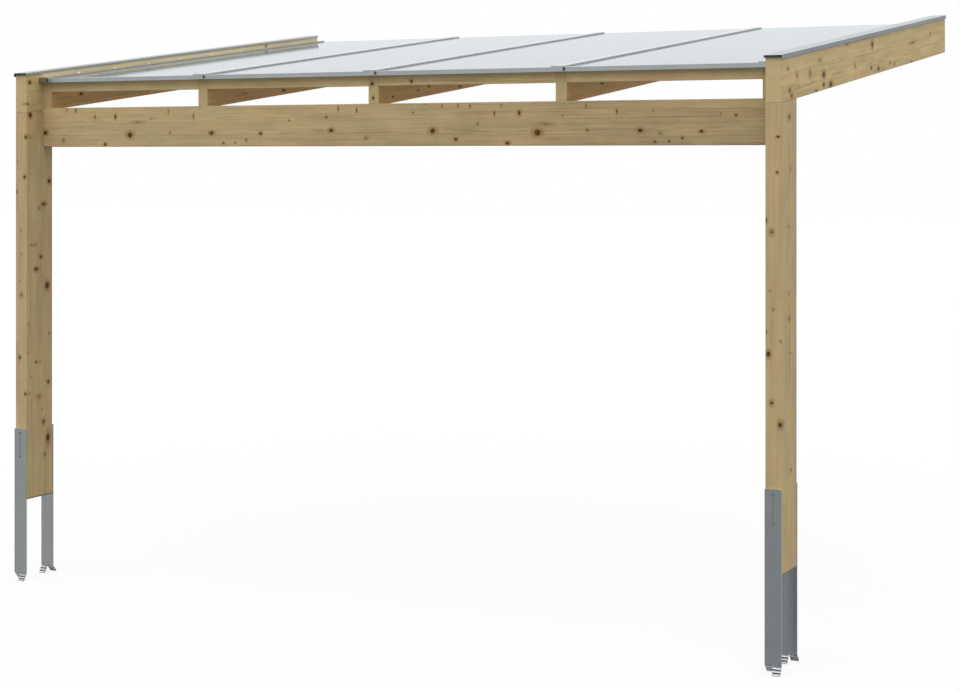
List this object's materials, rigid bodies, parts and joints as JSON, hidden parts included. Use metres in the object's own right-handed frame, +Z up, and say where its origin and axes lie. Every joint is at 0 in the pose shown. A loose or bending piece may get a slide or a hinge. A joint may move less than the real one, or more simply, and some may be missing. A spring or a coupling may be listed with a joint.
{
  "type": "attached patio cover",
  "caption": "Lean-to patio roof with clear multiwall sheets on timber rafters, carried by a wall ledger and by a header beam on two posts in steel anchors.",
  "frame": {"origin": "middle of the wall ledger's flat back face, which is fixed to the wall", "axes": "+X along the wall, to the right as seen from the front; +Y into the wall; +Z up"},
  "size_m": [4.51, 3.1135, 3.2309],
  "materials": {
    "glulam_timber": "planed softwood glulam, satin",
    "galvanised_steel": "galvanised",
    "aluminium_profile": "mill-finish extrusion",
    "sheet_metal_cap": "folded sheet, matt",
    "roof_sheet": "clear multiwall polycarbonate"
  },
  "bodies": {
    "root": {"left_post": "glulam_timber", "right_post": "glulam_timber", "header_beam": "glulam_timber", "left_side_rafter": "glulam_timber", "right_side_rafter": "glulam_timber", "wall_ledger": "glulam_timber", "rafter_1": "glulam_timber", "rafter_2": "glulam_timber", "rafter_3": "glulam_timber", "rafter_4": "glulam_timber", "rafter_5": "glulam_timber", "eave_blocking_1": "glulam_timber", "eave_blocking_2": "glulam_timber", "eave_blocking_3": "glulam_timber", "eave_blocking_4": "glulam_timber", "left_front_anchor": "galvanised_steel", "left_back_anchor": "galvanised_steel", "right_front_anchor": "galvanised_steel", "right_back_anchor": "galvanised_steel", "joist_hanger_2": "galvanised_steel", "joist_hanger_3": "galvanised_steel", "joist_hanger_4": "galvanised_steel", "glazing_bar_1": "aluminium_profile", "glazing_bar_2": "aluminium_profile", "glazing_bar_3": "aluminium_profile", "glazing_bar_4": "aluminium_profile", "glazing_bar_5": "aluminium_profile", "eave_profile_1": "aluminium_profile", "eave_profile_2": "aluminium_profile", "eave_profile_3": "aluminium_profile", "eave_profile_4": "aluminium_profile", "end_stop_1": "aluminium_profile", "end_stop_2": "aluminium_profile", "end_stop_3": "aluminium_profile", "end_stop_4": "aluminium_profile", "end_stop_5": "aluminium_profile", "left_rafter_cap": "sheet_metal_cap", "right_rafter_cap": "sheet_metal_cap", "roof_sheet_1": "roof_sheet", "roof_sheet_2": "roof_sheet", "roof_sheet_3": "roof_sheet", "roof_sheet_4": "roof_sheet"}
  },
  "joints": []
}
